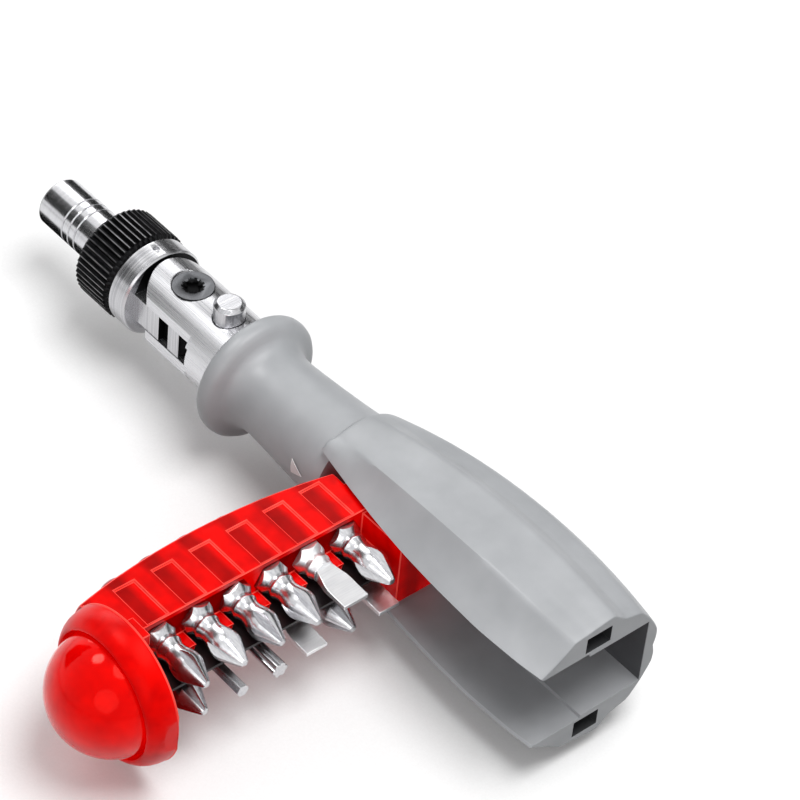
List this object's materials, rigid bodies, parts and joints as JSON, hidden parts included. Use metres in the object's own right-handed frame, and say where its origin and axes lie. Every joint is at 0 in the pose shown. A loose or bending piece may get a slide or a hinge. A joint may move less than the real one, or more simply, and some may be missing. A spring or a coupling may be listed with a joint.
{
  "type": "ratcheting screwdriver",
  "caption": "Ratcheting screwdriver with a folding, locking head, a knurled direction ring, a hex bit socket and a two-jaw handle holding a swing-out bit magazine.",
  "frame": {"origin": "centre of the bit socket's mouth", "axes": "+X along the driver's axis and out of the socket, +Y toward the side that the magazine opens to, +Z along the pivot screw toward the lock button's head"},
  "size_m": [0.1622, 0.1015, 0.0362],
  "materials": {
    "handle_grip": "satin grey moulding",
    "neck_grip": "satin grey moulding",
    "white_print": "pad-printed ink",
    "satin_steel": "turned and satin polished",
    "dark_steel": "black oxide",
    "polished_steel": "polished",
    "spring_steel": "drawn wire",
    "black_oxide": "black oxide on knurled steel",
    "hardened_steel": "hardened and oiled",
    "bronze": "sintered bronze",
    "nickel": "nickel plated magnet",
    "clear_red": "clear red moulding",
    "black_plastic": "smooth",
    "bit_steel": "satin nickel"
  },
  "bodies": {
    "handle": {"handle_shell": "handle_grip", "neck_sleeve": "neck_grip", "neck_arrow": "white_print", "shank_clevis": "satin_steel", "shank_screw": "dark_steel", "pivot_screw": "dark_steel", "pivot_nut": "dark_steel", "lock_plug": "dark_steel", "lock_spring": "spring_steel"},
    "lock_button": {"lock_button": "polished_steel"},
    "head": {"ratchet_housing": "satin_steel", "front_cap": "polished_steel", "pawl_pins": "spring_steel", "pawl_spring": "spring_steel", "detent_ball": "polished_steel", "detent_spring": "spring_steel", "thrust_washer": "bronze"},
    "selector": {"selector_ring": "black_oxide"},
    "spindle": {"bit_socket": "polished_steel", "ratchet_gear": "hardened_steel", "socket_magnet": "nickel"},
    "pawl_forward": {"pawl_forward": "hardened_steel"},
    "pawl_reverse": {"pawl_reverse": "hardened_steel"},
    "carriage": {"hinge_pin": "polished_steel"},
    "magazine": {"magazine_body": "clear_red", "magazine_dome": "clear_red", "row_divider": "black_plastic"},
    "bit_cross_1": {"bit_cross_1": "bit_steel"},
    "bit_cross_2": {"bit_cross_2": "bit_steel"},
    "bit_cross_3": {"bit_cross_3": "bit_steel"},
    "bit_cross_4": {"bit_cross_4": "bit_steel"},
    "bit_slot_5": {"bit_slot_5": "bit_steel"},
    "bit_cross_6": {"bit_cross_6": "bit_steel"},
    "bit_cross_7": {"bit_cross_7": "bit_steel"},
    "bit_hex_8": {"bit_hex_8": "bit_steel"},
    "bit_star_9": {"bit_star_9": "bit_steel"},
    "bit_slot_10": {"bit_slot_10": "bit_steel"},
    "bit_cross_11": {"bit_cross_11": "bit_steel"},
    "bit_slot_12": {"bit_slot_12": "bit_steel"}
  },
  "joints": [
    {"name": "magazine_slide", "type": "slide", "parent": "handle", "child": "carriage", "axis": [1, 0, 0], "range_m": [0, 0.0067]},
    {"name": "magazine_swing", "type": "hinge", "parent": "carriage", "child": "magazine", "pos_m": [-0.1072, 0.006, 0], "axis": [0, 0, 1], "range_deg": [0, 90]},
    {"name": "head_pivot", "type": "hinge", "parent": "handle", "child": "head", "pos_m": [-0.0439, 0, 0], "axis": [0, 0, 1], "range_deg": [-90, 90]},
    {"name": "lock_press", "type": "slide", "parent": "handle", "child": "lock_button", "axis": [0, 0, 1], "range_m": [-0.0018, 0], "stiffness_N_per_m": 900, "deforming": ["lock_spring"]},
    {"name": "selector_turn", "type": "hinge", "parent": "head", "child": "selector", "pos_m": [-0.0245, 0, 0], "axis": [1, 0, 0], "range_deg": [0, 30]},
    {"name": "spindle_spin", "type": "hinge", "parent": "head", "child": "spindle", "pos_m": [0, 0, 0], "axis": [1, 0, 0], "continuous": true},
    {"name": "pawl_forward_rock", "type": "hinge", "parent": "head", "child": "pawl_forward", "pos_m": [-0.0277, 0.0035, -0.00606], "axis": [1, 0, 0], "range_deg": [-17.5, 0]},
    {"name": "pawl_reverse_rock", "type": "hinge", "parent": "head", "child": "pawl_reverse", "pos_m": [-0.0277, -0.0035, -0.00606], "axis": [1, 0, 0], "range_deg": [-17.5, 0]},
    {"name": "bit_cross_1_pull", "type": "slide", "parent": "magazine", "child": "bit_cross_1", "axis": [1, 0, 0], "range_m": [-0.016, 0]},
    {"name": "bit_cross_2_pull", "type": "slide", "parent": "magazine", "child": "bit_cross_2", "axis": [1, 0, 0], "range_m": [-0.016, 0]},
    {"name": "bit_cross_3_pull", "type": "slide", "parent": "magazine", "child": "bit_cross_3", "axis": [1, 0, 0], "range_m": [-0.016, 0]},
    {"name": "bit_cross_4_pull", "type": "slide", "parent": "magazine", "child": "bit_cross_4", "axis": [1, 0, 0], "range_m": [-0.016, 0]},
    {"name": "bit_slot_5_pull", "type": "slide", "parent": "magazine", "child": "bit_slot_5", "axis": [1, 0, 0], "range_m": [-0.016, 0]},
    {"name": "bit_cross_6_pull", "type": "slide", "parent": "magazine", "child": "bit_cross_6", "axis": [1, 0, 0], "range_m": [-0.016, 0]},
    {"name": "bit_cross_7_pull", "type": "slide", "parent": "magazine", "child": "bit_cross_7", "axis": [1, 0, 0], "range_m": [-0.016, 0]},
    {"name": "bit_hex_8_pull", "type": "slide", "parent": "magazine", "child": "bit_hex_8", "axis": [1, 0, 0], "range_m": [-0.016, 0]},
    {"name": "bit_star_9_pull", "type": "slide", "parent": "magazine", "child": "bit_star_9", "axis": [1, 0, 0], "range_m": [-0.016, 0]},
    {"name": "bit_slot_10_pull", "type": "slide", "parent": "magazine", "child": "bit_slot_10", "axis": [1, 0, 0], "range_m": [-0.016, 0]},
    {"name": "bit_cross_11_pull", "type": "slide", "parent": "magazine", "child": "bit_cross_11", "axis": [1, 0, 0], "range_m": [-0.016, 0]},
    {"name": "bit_slot_12_pull", "type": "slide", "parent": "magazine", "child": "bit_slot_12", "axis": [1, 0, 0], "range_m": [-0.016, 0]}
  ],
  "couplings": [
    {"joint": "pawl_forward_rock", "follows": "selector_turn", "ratio": -0.58333},
    {"joint": "pawl_reverse_rock", "follows": "selector_turn", "ratio": -0.58333}
  ]
}
